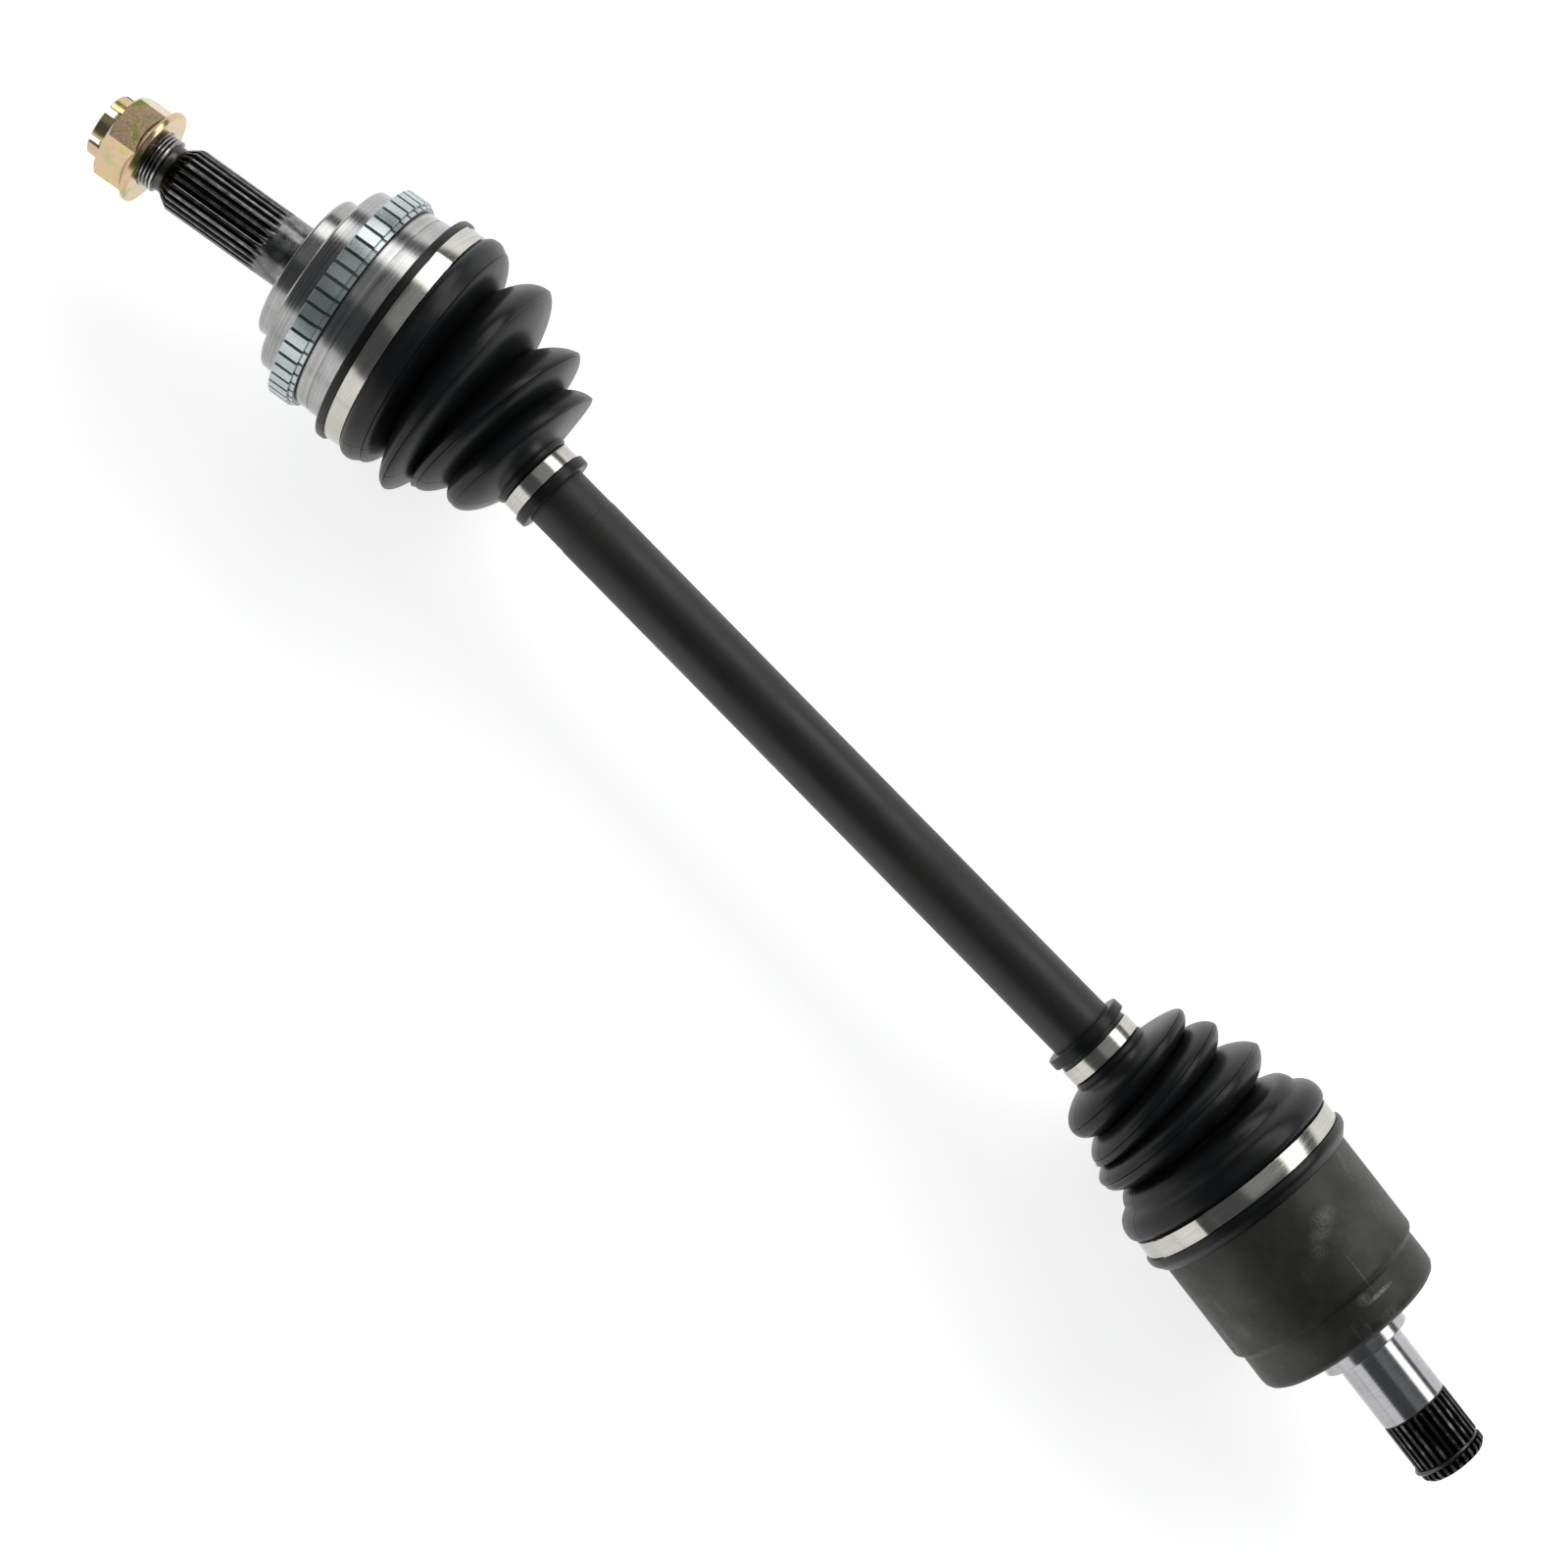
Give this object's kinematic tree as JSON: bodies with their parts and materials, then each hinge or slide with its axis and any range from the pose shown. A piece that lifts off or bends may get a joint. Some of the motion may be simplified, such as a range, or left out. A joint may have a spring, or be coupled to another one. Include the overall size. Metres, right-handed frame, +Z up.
{
  "type": "cv axle",
  "caption": "Car front drive shaft: ball joint with splined hub stub, nut and tone ring; bar; tripod joint with splined gearbox stub; rubber boots.",
  "frame": {"origin": "centre of the hub shoulder, where the hub stub leaves the bell", "axes": "+X outboard along the hub stub, +Z up with the shaft lying flat, both joints bent in the XY plane"},
  "size_m": [0.6922, 0.1765, 0.0964],
  "materials": {
    "turned_steel": "fine turned, bright, lightly oiled",
    "zinc_plate": "bright zinc plate",
    "yellow_zinc": "yellow chromate on zinc, iridescent",
    "black_paint": "satin black paint on steel",
    "hardened_steel": "ground and hardened",
    "spring_steel": "oiled spring steel",
    "band_steel": "stainless band, rolled",
    "boot_rubber": "moulded, satin",
    "dark_forging": "forged steel, dark phosphate, machined stub"
  },
  "bodies": {
    "shaft": {"axle_shaft": "black_paint", "inner_race": "hardened_steel", "race_clip": "spring_steel", "outer_small_clamp": "band_steel", "inner_small_clamp": "band_steel", "spider": "hardened_steel", "spider_clip": "spring_steel", "needles_1": "hardened_steel", "roller_washer_1": "hardened_steel", "roller_clip_1": "spring_steel", "needles_2": "hardened_steel", "roller_washer_2": "hardened_steel", "roller_clip_2": "spring_steel", "needles_3": "hardened_steel", "roller_washer_3": "hardened_steel", "roller_clip_3": "spring_steel"},
    "outer_boot": {"outer_boot": "boot_rubber"},
    "ball_cage": {"ball_cage": "hardened_steel", "ball_1": "hardened_steel", "ball_2": "hardened_steel", "ball_3": "hardened_steel", "ball_4": "hardened_steel", "ball_5": "hardened_steel", "ball_6": "hardened_steel"},
    "outer_race": {"outer_race": "turned_steel", "tone_ring": "zinc_plate", "outer_large_clamp": "band_steel"},
    "axle_nut": {"axle_nut": "yellow_zinc"},
    "inner_boot": {"inner_boot": "boot_rubber"},
    "inner_housing": {"inner_housing": "dark_forging", "inner_large_clamp": "band_steel", "set_ring": "spring_steel"},
    "roller_1": {"roller_1": "hardened_steel"},
    "roller_2": {"roller_2": "hardened_steel"},
    "roller_3": {"roller_3": "hardened_steel"}
  },
  "joints": [
    {"name": "wheel_side_lift", "type": "hinge", "parent": "shaft", "child": "outer_boot", "pos_m": [-0.0386, 0, 0], "axis": [-0.1719, -0.9851, 0], "range_deg": [-10, 10], "deforming": ["outer_boot"]},
    {"name": "wheel_side_steer", "type": "hinge", "parent": "outer_boot", "child": "ball_cage", "pos_m": [-0.0386, 0, 0], "axis": [0, 0, 1], "range_deg": [-27.45, 17.55], "deforming": ["outer_boot"]},
    {"name": "wheel_side_steer_second_half", "type": "hinge", "parent": "ball_cage", "child": "outer_race", "pos_m": [-0.0386, 0, 0], "axis": [0, 0, 1], "range_deg": [-27.45, 17.55], "deforming": ["outer_boot"]},
    {"name": "nut_turn", "type": "hinge", "parent": "outer_race", "child": "axle_nut", "pos_m": [0.0752, 0, 0], "axis": [1, 0, 0], "continuous": true},
    {"name": "gearbox_side_bend", "type": "hinge", "parent": "shaft", "child": "inner_boot", "pos_m": [-0.49323, 0.07935, 0], "axis": [0, 0, 1], "range_deg": [-11.4, 24.6], "deforming": ["inner_boot"]},
    {"name": "gearbox_side_plunge", "type": "slide", "parent": "inner_boot", "child": "inner_housing", "axis": [-0.9588, 0.284, 0], "range_m": [-0.012, 0.015], "deforming": ["inner_boot"]},
    {"name": "roller_1_spin", "type": "hinge", "parent": "shaft", "child": "roller_1", "pos_m": [-0.49323, 0.07935, 0.0225], "axis": [0, 0, 1], "range_deg": [-60, 60]},
    {"name": "roller_2_spin", "type": "hinge", "parent": "shaft", "child": "roller_2", "pos_m": [-0.48988, 0.09854, -0.01125], "axis": [0.1489, 0.8531, -0.5], "range_deg": [-60, 60]},
    {"name": "roller_3_spin", "type": "hinge", "parent": "shaft", "child": "roller_3", "pos_m": [-0.49658, 0.06015, -0.01125], "axis": [-0.1489, -0.8531, -0.5], "range_deg": [-60, 60]}
  ],
  "couplings": [
    {"joint": "wheel_side_steer_second_half", "follows": "wheel_side_steer", "ratio": 1},
    {"joint": "roller_1_spin", "follows": "gearbox_side_plunge", "rad_per_m": -60.606},
    {"joint": "roller_2_spin", "follows": "gearbox_side_plunge", "rad_per_m": -60.606},
    {"joint": "roller_3_spin", "follows": "gearbox_side_plunge", "rad_per_m": -60.606}
  ]
}
